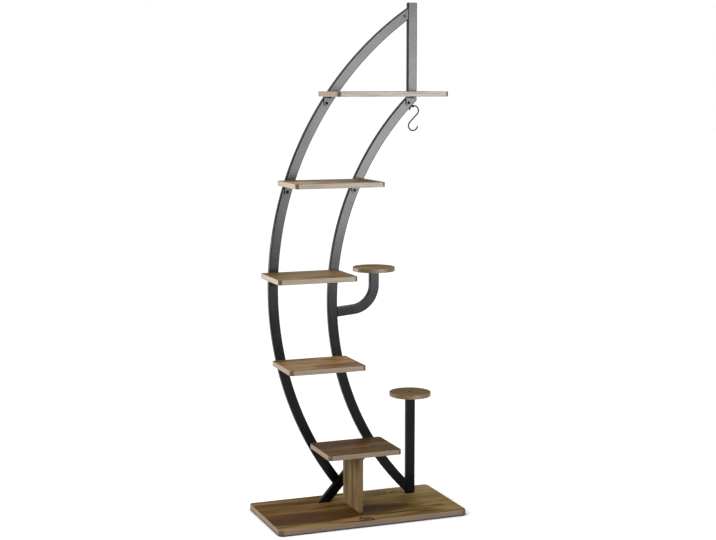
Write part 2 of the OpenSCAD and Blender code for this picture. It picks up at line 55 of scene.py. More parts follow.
def rounded_outline(low, high, radius, lead=corner_lead, steps=8):
    """The outline of a board with rounded corners, as points that can be set in from the rim.
    The lead is a short flat on each side of a corner, where its wear on the tubes, its painted shade on the
    boards' bands and its shading end."""
    corners = [
        (high[0] - radius, high[1] - radius),
        (low[0] + radius, high[1] - radius),
        (low[0] + radius, low[1] + radius),
        (high[0] - radius, low[1] + radius),
    ]

    def outline(inset):
        points = []
        for quarter, (x, y) in enumerate(corners):
            turns = [(quarter + step / steps) * math.pi / 2 for step in range(steps + 1)]
            reach = radius - inset
            arc = [(x + reach * math.cos(a), y + reach * math.sin(a)) for a in turns]
            ways = [(-math.sin(a), math.cos(a)) for a in (turns[0], turns[-1])]
            before = (arc[0][0] - lead * ways[0][0], arc[0][1] - lead * ways[0][1])
            after = (arc[-1][0] + lead * ways[1][0], arc[-1][1] + lead * ways[1][1])
            points += [before, *arc, after]
        return points

    wear_and_shade_marks = ([0.0] + [1.0] * (steps + 1) + [0.0]) * 4
    return outline, wear_and_shade_marks


def add_object(name, data):
    """Adds a mesh, a lamp or a camera to the scene as an object."""
    added = bpy.data.objects.new(name, data)
    bpy.context.scene.collection.objects.link(added)
    return added


def skin_piece(name, rings, finishes, finish_of_row=None, corner=None, arris=None, closed=False):
    """Skins rings of points into one piece, with its lengths round and along it as a map."""
    count = len(rings[0])
    points = [Vector(p) for ring in rings for p in ring]
    longest = max(rings, key=lambda ring: sum((Vector(ring[k]) - Vector(ring[k - 1])).length
                                              for k in range(count)))
    around = [0.0]
    for k in range(count):
        around.append(around[-1] + (Vector(longest[(k + 1) % count]) - Vector(longest[k])).length)
    along = [0.0]
    for low, high in zip(rings, rings[1:] + rings[:1]):
        along.append(along[-1] + (Vector(high[0]) - Vector(low[0])).length)
    rows = len(rings) if closed else len(rings) - 1
    faces, numbers, spots = [], [], []
    for row in range(rows):
        above = (row + 1) % len(rings)
        for k in range(count):
            after = (k + 1) % count
            faces.append((row * count + k, row * count + after, above * count + after, above * count + k))
            numbers.append(finish_of_row[row] if finish_of_row else 0)
            spots += [(around[k], along[row]), (around[k + 1], along[row]),
                      (around[k + 1], along[row + 1]), (around[k], along[row + 1])]
    if not closed:
        for ring in (0, len(rings) - 1):
            faces.append(tuple(ring * count + k for k in range(count)))
            numbers.append(0)
            spots += [(p[0], p[1]) for p in rings[ring]]
    mesh = bpy.data.meshes.new(name)
    mesh.from_pydata(points, [], faces)
    for finish in finishes:
        mesh.materials.append(finish)
    mesh.polygons.foreach_set("material_index", numbers)
    mesh.uv_layers.new(name="run").data.foreach_set("uv", [value for spot in spots for value in spot])
    if corner:
        mesh.attributes.new("corner", "FLOAT", "POINT").data.foreach_set("value", corner * len(rings))
    if arris:
        wear_and_shade_marks = [value for value in arris for k in range(count)]
        mesh.attributes.new("arris", "FLOAT", "POINT").data.foreach_set("value", wear_and_shade_marks)
    piece = add_object(name, mesh)
    smooth_piece(piece)
    return piece


def smooth_piece(piece, sharp=35):
    """Turns the faces outward and shades the piece smooth, with its real edges kept sharp."""
    shape = bmesh.new()
    shape.from_mesh(piece.data)
    bmesh.ops.recalc_face_normals(shape, faces=shape.faces)
    shape.to_mesh(piece.data)
    shape.free()
    piece.data.polygons.foreach_set("use_smooth", [True] * len(piece.data.polygons))
    piece.data.set_sharp_from_angle(angle=math.radians(sharp))
    if "weighted normals" not in piece.modifiers:
        piece.modifiers.new("weighted normals", "WEIGHTED_NORMAL").keep_sharp = True


def banded_board(name, outline, wear_and_shade_marks, bottom, top, face, band):
    """A board with a grooved joint line between its faces and its band, and eased arrises."""
    thick = top - bottom
    turns = [step * math.pi / 8 for step in range(5)]
    eases = [(rim_ease * (1 - math.sin(a)), rim_ease * (1 - math.cos(a))) for a in turns]
    rim = [(band_thick + joint_line, 0), (band_thick, joint_line), (band_thick - joint_line, 0), *eases]
    rim += [(inset, thick - height) for inset, height in reversed(rim)]
    rings = [[(x, y, bottom + height) for x, y in outline(inset)] for inset, height in rim]
    # How far each ring is rubbed light, from the joint line over the arris onto the band.
    rubbed = [0.0, 0.0, 0.0, 0.6, 1.0, 1.0, 1.0, 0.0]
    finish_of_row = [0] + [1] * (len(rings) - 3) + [0]
    return skin_piece(name, rings, [face, band], finish_of_row, wear_and_shade_marks, rubbed + rubbed[::-1])


def cut_holes(piece, cutters):
    """Cuts each cutter out of the piece and throws the cutter away."""
    for cutter in cutters:
        tool = piece.modifiers.new("hole", "BOOLEAN")
        tool.object = cutter
        tool.solver = "EXACT"
    weighted = piece.modifiers["weighted normals"]
    weighted.show_viewport = False
    drilled = bpy.data.meshes.new_from_object(piece.evaluated_get(bpy.context.evaluated_depsgraph_get()))
    piece.modifiers.clear()
    piece.data = drilled
    for cutter in cutters:
        bpy.data.objects.remove(cutter)
    smooth_piece(piece)


def feed(finish, step, feeds):
    """Feeds the sockets of a step or a shader with values or with other steps."""
    for socket, value in feeds.items():
        if isinstance(value, bpy.types.NodeSocket):
            finish.node_tree.links.new(value, step.inputs[socket])
        else:
            step.inputs[socket].default_value = value


def mix_step(finish, kind, feeds=None, **settings):
    """Adds one step to a finish, with its settings and what feeds its sockets."""
    step = finish.node_tree.nodes.new("ShaderNode" + kind)
    for setting, value in settings.items():
        setattr(step, setting, value)
    feed(finish, step, feeds or {})
    return step


def sum_of(finish, operation, first, second=0.0, third=0.0):
    """One sum of up to three numbers."""
    feeds = {0: first, 1: second, 2: third}
    return mix_step(finish, "Math", feeds, operation=operation).outputs[0]


def times(finish, first, second):
    """Two numbers multiplied."""
    return sum_of(finish, "MULTIPLY", first, second)


def sway(finish, noise, much, onto):
    """Moves a value to both sides by a noise."""
    return sum_of(finish, "MULTIPLY_ADD", sum_of(finish, "SUBTRACT", noise, 0.5), much, onto)


def from_middle(finish, value, middle, half):
    """How many half widths a value lies from a middle."""
    return sum_of(finish, "DIVIDE", sum_of(finish, "SUBTRACT", value, middle), half)


def far_squared(finish, down, over):
    """The square of how far out a point lies, from how far down and how far over it lies."""
    return sum_of(finish, "ADD", times(finish, down, down), times(finish, over, over))


def spread(finish, value, low, high, to_low=0.0, to_high=1.0, kind="SMOOTHSTEP"):
    """Spreads a value from one range over another."""
    feeds = {"Value": value, "From Min": low, "From Max": high, "To Min": to_low, "To Max": to_high}
    return mix_step(finish, "MapRange", feeds, interpolation_type=kind).outputs[0]


def place_on(finish):
    """Where each point of the surface lies on the object."""
    return mix_step(finish, "TexCoord").outputs["Object"]


def shifted_by(finish, place, by):
    """Moves a pattern, so that no two boards are cut alike."""
    return mix_step(finish, "VectorMath", {0: place, 1: by}, operation="ADD").outputs[0]


def wear_and_shade_share(finish, mark):
    """How strongly a point is marked at its corners or its arris, as its mesh says: for wear on the tubes'
    corners and the arrises, and for painted shade at the bands' corners.
    """
    return mix_step(finish, "Attribute", attribute_name=mark).outputs["Fac"]


def grain(finish, place, stretch, detail=3.0, roughness=0.55):
    """A noise stretched over the place by a scale along each axis."""
    stretched = mix_step(finish, "VectorMath", {0: place, 1: stretch}, operation="MULTIPLY")
    feeds = {"Vector": stretched.outputs[0], "Scale": 1.0, "Detail": detail, "Roughness": roughness}
    return mix_step(finish, "TexNoise", feeds).outputs["Fac"]


def blend_colour(finish, share, first, second, blend="MIX"):
    """Blends two colours by a share."""
    feeds = {0: share}
    for socket, colour in ((6, first), (7, second)):
        feeds[socket] = colour if isinstance(colour, bpy.types.NodeSocket) else (*colour, 1.0)
    return mix_step(finish, "Mix", feeds, data_type="RGBA", blend_type=blend).outputs[2]


def tones(finish, value, stops):
    """A run of colours along a value from 0 to 1."""
    step = mix_step(finish, "ValToRGB", {"Fac": value})
    ramp = step.color_ramp
    ramp.elements.remove(ramp.elements[1])
    ramp.elements[0].position = stops[0][0]
    ramp.elements[0].color = (*stops[0][1], 1.0)
    for place, colour in stops[1:]:
        ramp.elements.new(place).color = (*colour, 1.0)
    return step.outputs[0]


def shares(finish, value, stops):
    """A run of shares along a value from 0 to 1."""
    return tones(finish, value, [(place, (share,) * 3) for place, share in stops])


def new_finish(name, roughness, specular, metallic=0.0):
    """A new finish with its shader."""
    finish = bpy.data.materials.new(name)
    finish.use_nodes = True
    shader = finish.node_tree.nodes["Principled BSDF"]
    feed(finish, shader, {"Roughness": roughness, "Specular IOR Level": specular, "Metallic": metallic})
    return finish, shader


def raise_bumps(finish, shader, height, distance, strength=1.0):
    """Feeds a height into the shader's normal."""
    feeds = {"Height": height, "Distance": distance, "Strength": strength}
    feed(finish, shader, {"Normal": mix_step(finish, "Bump", feeds).outputs[0]})


# The year rings: how wide they are, how the log leans, and how far the rings wander.
ring_width = 0.0068
log_lean = 0.10
ring_wander = 0.045
ring_ripple = 0.0045
# How ragged a knot or a stain is, how a knot bends the rings, and its own dark rings from its
# middle out, as places and shares.
edge_ragged = 1.6
knot_pull = 0.85
knot_reach = 2.6
knot_rings = [(0.0, 0.1), (0.10, 0.2), (0.20, 1.0), (0.31, 0.9), (0.42, 0.3), (0.53, 1.0), (0.68, 1.0),
              (0.80, 0.25), (1.0, 0.0)]
pore_dark = (0.045, 0.026, 0.012)
knot_black = (0.016, 0.009, 0.005)
calm_wood = (0.182, 0.124, 0.060)


def rustic_face(name, seed, along="x", heart=(0.0, 0.05), knots=(), stains=(), turn=0.0,
                shade=(1.0, 1.0, 1.0), calm=0.0, gloss=0.05):
    """Brown rustic wood: flowing year rings, streaks, pores, knots and stains, cut along its grain.
    Heart is how far the log's middle lies across and below the face. A knot has its place along and
    across, its size, its stretch and how dark it is, and a stain its place, halves, share and colour."""
    finish, shader = new_finish(name, 0.6, gloss)
    place = place_on(finish)
    if turn:
        feeds = {"Vector": place, "Rotation": (0.0, 0.0, turn)}
        place = mix_step(finish, "Mapping", feeds).outputs[0]
    parts = mix_step(finish, "SeparateXYZ", {0: place}).outputs
    lengthwise, across, through = (parts[2], parts[1], parts[0]) if along == "z" else parts
    joined = mix_step(finish, "CombineXYZ", {0: lengthwise, 1: across, 2: through}).outputs[0]
    shifted = shifted_by(finish, joined, (seed * 1.7, seed * 0.9, seed * 2.3))
    wander = grain(finish, shifted, (1.7, 5.0, 5.0), 2.0)
    ripple = grain(finish, shifted, (9.0, 30.0, 30.0), 2.0)
    bent = sway(finish, ripple, ring_ripple, sway(finish, wander, ring_wander, across))
    knot_dark = None
    for knot_along, knot_across, size, stretch, dark_share in knots:
        down = from_middle(finish, lengthwise, knot_along, stretch)
        over = sum_of(finish, "SUBTRACT", across, knot_across)
        far = sum_of(finish, "SQRT", far_squared(finish, down, over))
        pull = spread(finish, far, 0.3 * size, 4.0 * size, knot_pull, 0.0)
        bent = sum_of(finish, "SUBTRACT", bent, times(finish, over, pull))
        uneven = sway(finish, ripple, edge_ragged * size, far)
        uneven = sum_of(finish, "DIVIDE", uneven, knot_reach * size)
        eye = shares(finish, uneven, [(out, dark * dark_share) for out, dark in knot_rings])
        patchy = grain(finish, shifted, (48.0, 48.0, 48.0), 1.0)
        eye = times(finish, eye, spread(finish, patchy, 0.40, 0.54, 0.45, 1.0))
        knot_dark = eye if knot_dark is None else sum_of(finish, "MAXIMUM", knot_dark, eye)
    offset = sum_of(finish, "SUBTRACT", bent, heart[0])
    depth = sum_of(finish, "MULTIPLY_ADD", lengthwise, log_lean, heart[1])
    radius = sum_of(finish, "SQRT", far_squared(finish, offset, depth))
    rings = sum_of(finish, "FRACT", sum_of(finish, "DIVIDE", radius, ring_width))
    late = shares(finish, rings, [(0.0, 0.0), (0.35, 0.12), (0.72, 0.55), (0.9, 1.0), (1.0, 0.0)])
    bent_place = mix_step(finish, "CombineXYZ", {0: lengthwise, 1: bent, 2: through}).outputs[0]
    bent_place = shifted_by(finish, bent_place, (seed, seed * 1.3, seed * 0.7))
    broad = grain(finish, bent_place, (2.6, 26.0, 26.0), 4.0, 0.6)
    fibre = grain(finish, bent_place, (14.0, 520.0, 520.0), 4.0, 0.6)
    streak = grain(finish, bent_place, (5.0, 120.0, 120.0), 3.0, 0.6)
    pores = spread(finish, grain(finish, bent_place, (70.0, 1300.0, 1300.0), 1.0), 0.62, 0.72)
    tint = grain(finish, shifted, (1.5, 9.0, 9.0), 2.0)
    wood = tones(finish, broad, [(0.28, (0.075, 0.039, 0.0115)), (0.42, (0.155, 0.087, 0.024)),
                                 (0.54, (0.235, 0.142, 0.039)), (0.70, (0.360, 0.230, 0.072))])
    for share, colour in (
        (times(finish, late, 0.75), (0.52, 0.45, 0.38)),
        (spread(finish, streak, 0.45, 0.68, 0.0, 0.65), (0.46, 0.40, 0.34)),
        (spread(finish, fibre, 0.3, 0.7, 0.0, 0.4), (0.55, 0.50, 0.45)),
        (spread(finish, tint, 0.40, 0.60), (1.08, 0.90, 0.80)),
        (1.0, shade),
    ):
        wood = blend_colour(finish, share, wood, colour, "MULTIPLY")
    wood = blend_colour(finish, calm, wood, calm_wood)
    for stain_along, stain_across, half_long, half_wide, share, colour in stains:
        down = from_middle(finish, lengthwise, stain_along, half_long)
        over = from_middle(finish, bent, stain_across, half_wide)
        ragged = sway(finish, streak, edge_ragged, far_squared(finish, down, over))
        wood = blend_colour(finish, spread(finish, ragged, 0.35, 1.15, share, 0.0), wood, colour)
    streaky = tones(finish, streak, [(0.36, (1.26, 1.23, 1.16)), (0.64, (0.72, 0.70, 0.68))])
    wood = blend_colour(finish, 1.0, wood, streaky, "MULTIPLY")
    wood = blend_colour(finish, times(finish, pores, 0.55), wood, pore_dark)
    if knot_dark is not None:
        wood = blend_colour(finish, knot_dark, wood, knot_black)
    rough = sum_of(finish, "ADD", spread(finish, fibre, 0.3, 0.7, 0.50, 0.66), times(finish, pores, 0.12))
    feed(finish, shader, {"Base Color": wood, "Roughness": rough})
    height = sum_of(finish, "MULTIPLY_ADD", late, -0.35, fibre)
    height = sum_of(finish, "SUBTRACT", height, times(finish, pores, 0.9))
    raise_bumps(finish, shader, height, distance=0.00014, strength=0.7)
    return finish


fleck_dark = (0.07, 0.045, 0.03)
# The painted shade at the bands' corners and the painted shadow along the base's foot are drawn in these near
# blacks.
painted_shade_black = (0.010, 0.006, 0.004)
foot_shadow_black = (0.008, 0.005, 0.004)
# Between these lengths up the rim, from beneath, the painted shadow along the base's foot fades out.
foot_from = 0.0042
foot_to = 0.0062


def rim_band(name, seed, colour, painted_shade_dark=1.0, foot_shadow_dark=0.0, rough_grain=1.0, gloss=0.42):
    """Paler band glued round a board's rim: streaks along it, with painted shade where it bends round a
    corner and, on the base, a painted shadow along its foot."""
    finish, shader = new_finish(name, 0.5, gloss)
    run = mix_step(finish, "UVMap", uv_map="run").outputs[0]
    shifted = shifted_by(finish, run, (seed * 3.1, seed * 1.3, seed))
    streak = grain(finish, shifted, (9.0, 420.0, 1.0), 4.0, 0.6)
    broad = grain(finish, shifted, (7.0, 30.0, 1.0), 3.0)
    fleck = spread(finish, grain(finish, shifted, (60.0, 1500.0, 1.0), 1.0), 0.6, 0.72)
    # Painted shade darkens the band at its corners, and on the plates at its front left.
    painted_shade_share = spread(finish, broad, 0.25, 0.6, painted_shade_dark, 0.8 * painted_shade_dark)
    painted_shade_share = times(finish, wear_and_shade_share(finish, "corner"), painted_shade_share)
    light = tuple(value * 1.28 for value in colour)
    dark = tuple(value * 0.62 for value in colour)
    wood = blend_colour(finish, spread(finish, broad, 0.35, 0.65), colour, light)
    for share, shown in (
        (spread(finish, streak, 0.48, 0.70, 0.0, 0.8 * rough_grain), dark),
        (times(finish, fleck, 0.35 * rough_grain), fleck_dark),
        (painted_shade_share, painted_shade_black),
        (times(finish, wear_and_shade_share(finish, "arris"), 0.6), light),
    ):
        wood = blend_colour(finish, share, wood, shown)
    # A painted shadow darkens the base's band along its foot.
    if foot_shadow_dark:
        up_the_rim = mix_step(finish, "SeparateXYZ", {0: run}).outputs[1]
        painted_foot_shadow = spread(finish, up_the_rim, foot_from, foot_to, foot_shadow_dark, 0.0)
        wood = blend_colour(finish, painted_foot_shadow, wood, foot_shadow_black)
    rough = sum_of(finish, "MULTIPLY_ADD", painted_shade_share, -0.08, spread(finish, streak, 0.3, 0.7, 0.43, 0.55))
    feed(finish, shader, {"Base Color": wood, "Roughness": rough})
    height = sum_of(finish, "SUBTRACT", streak, fleck)
    raise_bumps(finish, shader, height, distance=0.0001, strength=0.5 * rough_grain)
    return finish


def screw_rings(rows, steps=36):
    """Rings of a turned or pressed part. Each row has its reach, one number or one for each turn,
    and its depth."""
    rings = []
    for reach, depth in rows:
        ring = []
        for step in range(steps):
            a = 2 * math.pi * step / steps
            r = reach(a) if callable(reach) else reach
            ring.append(Vector((r * math.cos(a), r * math.sin(a), depth)))
        rings.append(ring)
    return rings


def set_in(rings, head, inward):
    """Sets rings at the place of a screw's head, pointing into the work."""
    turn = Vector((0, 0, 1)).rotation_difference(Vector(inward)).to_matrix()
    return [[Vector(head) + turn @ p for p in ring] for ring in rings]


def bare_wood(name, roughness, specular, stretch, dark, light):
    """Wood with no face or band over it, as fine fibres."""
    finish, shader = new_finish(name, roughness, specular)
    fibre = grain(finish, place_on(finish), stretch)
    feed(finish, shader, {"Base Color": tones(finish, fibre, [(0.3, dark), (0.7, light)])})
    raise_bumps(finish, shader, fibre, distance=0.0002)
    return finish


def stands_for(piece, node, body="stand"):
    """Says which node a piece stands for and what it moves with."""
    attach(piece, body)
    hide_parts(node)


core_wood = bare_wood("bare wood in the holes", 0.8, 0.2, (300.0, 900.0, 900.0), (0.26, 0.17, 0.09),
                      (0.42, 0.30, 0.18))
base_low, base_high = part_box("base_board")
base_top = base_high.z
outline, wear_and_shade_marks = rounded_outline(base_low, base_high, base_corner)
# The brown colour also paints the post's shadow on the base.
brown_stain_and_shadow = (0.053, 0.024, 0.007)
dark_stain = (0.050, 0.026, 0.012)
olive_patch = (0.245, 0.155, 0.058)
# The pale and light colours also paint the sheen from the left on three shelves.
pale_patch_and_sheen = (0.290, 0.195, 0.075)
light_patch_and_sheen = (0.420, 0.310, 0.140)
base_knots = [
    (-0.021, -0.131, 0.0125, 1.0, 1.0),
    (0.105, 0.112, 0.0125, 1.5, 0.5),
    (0.170, 0.100, 0.0080, 1.5, 0.5),
    (0.235, -0.075, 0.005, 2.4, 0.7),
]
base_stains = [
    (0.30, 0.02, 0.13, 0.19, 0.75, pale_patch_and_sheen),
    (0.14, 0.10, 0.21, 0.07, 0.65, pale_patch_and_sheen),
    (0.10, 0.035, 0.10, 0.05, 0.4, pale_patch_and_sheen),
    (-0.17, -0.02, 0.24, 0.19, 0.25, dark_stain),
    (-0.17, -0.062, 0.29, 0.056, 0.95, brown_stain_and_shadow),
    # This brown patch, right of the post, is a painted shadow of the post.
    (0.045, -0.035, 0.12, 0.046, 0.9, brown_stain_and_shadow),
    (-0.16, 0.105, 0.15, 0.014, 0.45, brown_stain_and_shadow),
    (0.02, -0.118, 0.15, 0.018, 0.7, olive_patch),
    (0.26, 0.105, 0.13, 0.06, 0.5, light_patch_and_sheen),
    (-0.25, 0.14, 0.14, 0.02, 0.15, light_patch_and_sheen),
    (-0.20, -0.142, 0.15, 0.014, 0.55, pale_patch_and_sheen),
]
base_face = rustic_face("base board grain", 3.0, heart=(-0.02, 0.045), shade=(0.80, 0.91, 0.84),
                        gloss=0.02, knots=base_knots, stains=base_stains)
base_band = rim_band("base board band", 1.0, (0.130, 0.074, 0.031), painted_shade_dark=0.78, foot_shadow_dark=1.0)
base_board = banded_board("base_board_faced", outline, wear_and_shade_marks, base_low.z, base_top, base_face, base_band)
strut_x = -0.0805
tube_mid = 0.0805
upright_x = 0.2095
strut_slope = math.radians(48)
foot_insert_high = 0.015
strut_bolt_x = strut_x + foot_insert_high / 2 / math.tan(strut_slope)
base_bolt_spots = [(upright_x, tube_mid), (strut_bolt_x, tube_mid)]
base_bolt_wide = 0.006
post_x = -0.012
post_screw_spots = [(post_x, -0.0305), (post_x, 0.0385)]
post_screw_wide = 0.0045
csk_share = 1.9
hole_gap = 0.0005
head_recess = 0.0008
drill_past = 0.005


def csk_cutter(thread, through, spot, down):
    """The shape of a countersunk hole, to be cut out of a board."""
    shank = (thread + hole_gap) / 2
    head = (thread * csk_share + hole_gap) / 2
    past = through + drill_past
    rows = [(head, -drill_past), (head, head_recess), (shank, head_recess + head - shank), (shank, past)]
    return skin_piece("cutter", set_in(screw_rings(rows), spot, down), [core_wood])


base_holes = [(base_bolt_wide, spot) for spot in base_bolt_spots]
base_holes += [(post_screw_wide, spot) for spot in post_screw_spots]
base_through = base_high.z - base_low.z
cut_holes(base_board, [csk_cutter(wide, base_through, (x, y, 0), (0, 0, 1)) for wide, (x, y) in base_holes])
stands_for(base_board, "base_board")


# Foot strut and side bar: two straight lengths of 30 x 15 mm steel tube in satin black
# powder coat. They stand on the base over tapped blocks, and bolts from beneath hold them.
# The strut leans 48 degrees and is coped to the outside of the inner arc.
tube_wide = 0.030
tube_deep = 0.015
tube_wall = 0.0015
tube_corner = 0.0025
tube_lead = 0.0006
file_break = 0.0003
inner_arc = (0.857, 0.8055, 0.6455)


def black_coat(name, roughness=0.23, specular=0.10):
    """Satin black powder coat: fine peel, faint clouding and corners rubbed a little lighter."""
    finish, shader = new_finish(name, roughness, specular)
    place = place_on(finish)
    cloud = grain(finish, place, (22.0, 22.0, 22.0), 4.0, 0.6)
    peel = grain(finish, place, (900.0, 900.0, 900.0), 2.0)
    dust = spread(finish, grain(finish, place, (1900.0, 1900.0, 1900.0), 1.0), 0.62, 0.75)
    rubbed = times(finish, wear_and_shade_share(finish, "corner"), spread(finish, cloud, 0.45, 0.75, 0.1, 0.8))
    clouded = spread(finish, cloud, 0.35, 0.65)
    coat = blend_colour(finish, clouded, (0.0016, 0.0016, 0.0018), (0.0030, 0.0030, 0.0032))
    coat = blend_colour(finish, times(finish, dust, 0.12), coat, (0.020, 0.020, 0.021))
    coat = blend_colour(finish, rubbed, coat, (0.016, 0.016, 0.017))
    rough = spread(finish, cloud, 0.3, 0.7, roughness - 0.01, roughness + 0.015)
    rough = sum_of(finish, "MULTIPLY_ADD", rubbed, 0.10, rough)
    feed(finish, shader, {"Base Color": coat, "Roughness": rough})
    raise_bumps(finish, shader, peel, distance=0.00004, strength=0.15)
    return finish


frame_coat = black_coat("satin black powder coat")


def arc_place(arc):
    """Places on an arc by the length along it from its leftmost point, upward."""
    radius, middle_x, middle_z = arc

    def place(along, across, depth):
        turn = along / radius
        reach = radius + across
        x = middle_x - reach * math.cos(turn)
        z = middle_z + reach * math.sin(turn)
        return Vector((x, tube_mid + depth, z))

    return place


def upright_place(along, across, depth):
    """Places on the side bar and the mast by height."""
    return Vector((upright_x + across, tube_mid + depth, along))


def strut_place(along, across, depth):
    """Places on the strut by the length from its foot."""
    x = strut_x + along * math.cos(strut_slope) + across * math.sin(strut_slope)
    z = base_top + along * math.sin(strut_slope) - across * math.cos(strut_slope)
    return Vector((x, tube_mid + depth, z))


def meets(place, low, high, side, halvings=44):
    """For each line of the tube, how far along it the tube meets a face between two places."""

    def end(across):
        near, far = low, high
        start = side(place(near, across, 0)) > 0
        for halving in range(halvings):
            middle = (near + far) / 2
            if (side(place(middle, across, 0)) > 0) == start:
                near = middle
            else:
                far = middle
        return near

    return end


def square_cut(along):
    """A square end at one length along the tube."""
    return lambda across: along


def section_outline(half_wide, half_deep, radius, lead, steps):
    """The outline of a bar's section about its middle."""
    return rounded_outline((-half_wide, -half_deep), (half_wide, half_deep), radius, lead, steps)


def tube_piece(node, place, low_end, high_end, steps):
    """A hollow length of tube between two cut ends, with the ends broken by a file."""
    half_w, half_d = tube_wide / 2, tube_deep / 2
    outer, corner = section_outline(half_w, half_d, tube_corner, tube_lead, 5)
    bore = section_outline(half_w - tube_wall, half_d - tube_wall, tube_corner - tube_wall, tube_lead, 5)[0]

    def ring(section, share, inset=0.0, trim=file_break):
        points = []
        for across, depth in section(inset):
            low = low_end(across) + trim
            high = high_end(across) - trim
            points.append(place(low + (high - low) * share, across, depth))
        return points

    run = [step / steps for step in range(steps + 1)]
    rings = [ring(outer, 0, file_break, 0.0)]
    rings += [ring(outer, share) for share in run]
    rings += [ring(outer, 1, file_break, 0.0), ring(bore, 1, 0.0, 0.0)]
    rings += [ring(bore, share) for share in reversed(run)]
    rings.append(ring(bore, 0, 0.0, 0.0))
    piece = skin_piece(node + "_tube", rings, [frame_coat], corner=corner, closed=True)
    stands_for(piece, node)


def outside_of(arc, out):
    """How far a point lies outside an arc's face."""
    radius, middle_x, middle_z = arc
    return lambda p: math.hypot(p.x - middle_x, p.z - middle_z) - radius - out


strut_low = meets(strut_place, -0.05, 0.1, lambda p: p.z - base_top)
strut_high = meets(strut_place, 0.02, 0.40, outside_of(inner_arc, tube_wide / 2))
tube_piece("foot_strut", strut_place, strut_low, strut_high, 30)
bar_low, bar_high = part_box("side_bar")
tube_piece("side_bar", upright_place, square_cut(bar_low.z), square_cut(bar_high.z), 20)


def bright_metal(name, colour, roughness, scratches=(40.0, 900.0, 900.0)):
    """Bare or zinc-plated steel, with fine marks from drawing or tumbling."""
    finish, shader = new_finish(name, roughness, 0.5, 1.0)
    place = place_on(finish)
    cloud = grain(finish, place, (90.0, 90.0, 90.0), 4.0)
    marks = grain(finish, place, scratches)
    dull = tuple(value * 0.72 for value in colour)
    metal = blend_colour(finish, spread(finish, cloud, 0.35, 0.7), colour, dull)
    rough = spread(finish, marks, 0.3, 0.7, roughness - 0.08, roughness + 0.12)
    feed(finish, shader, {"Base Color": metal, "Roughness": rough})
    raise_bumps(finish, shader, marks, distance=0.00004, strength=0.6)
    return finish


bare_steel = bright_metal("bare steel", (0.42, 0.41, 0.40), 0.42)
zinc_plate = bright_metal("zinc plate", (0.62, 0.63, 0.65), 0.32, (400.0, 400.0, 400.0))


def dress_node(node, finish):
    """Gives a carried-over node its finish."""
    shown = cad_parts[node]
    shown.data.materials.clear()
    shown.data.materials.append(finish)


dress_node("foot_inserts", bare_steel)


def hex_reach(flats):
    """The reach of a hexagon socket at each turn."""
    return lambda a: flats / 2 / math.cos((a + math.pi / 6) % (math.pi / 3) - math.pi / 6)


# How far in and down the edge of a screw's head is broken.
edge_in = 0.0003
edge_down = 0.0002


def socket_rows(reach, steps):
    """Rows of a socket or a recess from the middle of its floor to its lip, each a share of its
    reach and a depth."""
    return [(lambda a, share=share: reach(a) * share, depth) for share, depth in steps]


def csk_screw_rings(thread, length, recess):
    """A countersunk screw from the middle of its recess out over its head and down its shank."""
    head = thread * csk_share / 2
    shank = thread / 2
    rows = socket_rows(recess, ((0.05, thread * 0.42), (0.96, thread * 0.36), (1, edge_down), (1.05, 0.0)))
    rows += [(head - edge_in, 0.0), (head, edge_down), (shank, head - shank)]
    rows += [(shank, length - thread * 0.2), (shank * 0.7, length)]
    return screw_rings(rows)


def join_pieces(name, pieces):
    """Joins loose parts that make one group into one piece."""
    shape = bmesh.new()
    for piece in pieces:
        shape.from_mesh(piece.data)
    mesh = bpy.data.meshes.new(name)
    shape.to_mesh(mesh)
    shape.free()
    for finish in pieces[0].data.materials:
        mesh.materials.append(finish)
    for piece in pieces:
        bpy.data.objects.remove(piece)
    joined = add_object(name, mesh)
    smooth_piece(joined)
    return joined


def screw_set(node, finish, rings, spots, inward):
    """Like screws at their spots, as one piece."""
    screws = [skin_piece("screw", set_in(rings, spot, inward), [finish]) for spot in spots]
    stands_for(join_pieces(node + "_set", screws), node)


base_bolt_long = 0.030
base_bolt_rings = csk_screw_rings(base_bolt_wide, base_bolt_long, hex_reach(flats=0.004))
base_bolt_heads = [(x, y, head_recess) for x, y in base_bolt_spots]
screw_set("base_bolts", zinc_plate, base_bolt_rings, base_bolt_heads, (0, 0, 1))


# Lower arcs: two lengths of the same tube, rolled to a large radius. The outer one stands on
# the strut's upper face and the inner one on the side bar's left face, both welded, and each
# runs up to a seam behind the third shelf.
outer_arc = (1.005, 0.7645, 0.6885)
seam_high = 0.741
strut_foot = Vector((strut_x, 0, base_top))
strut_normal = Vector((math.sin(strut_slope), 0, -math.cos(strut_slope)))
upright_left = upright_x - tube_wide / 2
outer_place = arc_place(outer_arc)
inner_place = arc_place(inner_arc)
outer_seam = outer_arc[0] * math.asin((seam_high - outer_arc[2]) / outer_arc[0])
inner_seam = inner_arc[0] * math.asin((seam_high - inner_arc[2]) / inner_arc[0])


def over_strut(p):
    """How far a point lies above the strut's upper face."""
    return -(Vector((p.x, 0, p.z)) - strut_foot).dot(strut_normal) - tube_wide / 2


tube_piece("outer_arc_lower", outer_place, meets(outer_place, -0.72, -0.5, over_strut),
           square_cut(outer_seam), 90)
tube_piece("inner_arc_lower", inner_place, meets(inner_place, -0.80, -0.4, lambda p: upright_left - p.x),
           square_cut(inner_seam), 100)


# Sleeves: a short square steel sleeve bridges each seam inside the tube. Two flat-headed
# screws in the back of each arc hold it.
dress_node("outer_arc_sleeve", bare_steel)
dress_node("inner_arc_sleeve", bare_steel)
sleeve_screw_wide = 0.004
sleeve_screw_long = 0.0037
sleeve_head_high = 0.0016
sleeve_screw_reach = 0.012


def cross_reach(arm, half_wide):
    """The reach of a cross recess at each turn."""

    def reach(a):
        lean = abs((a + math.pi / 4) % (math.pi / 2) - math.pi / 4)
        end = arm / math.cos(lean)
        side = half_wide / max(math.sin(lean), 1e-6)
        return min(end, side)

    return reach


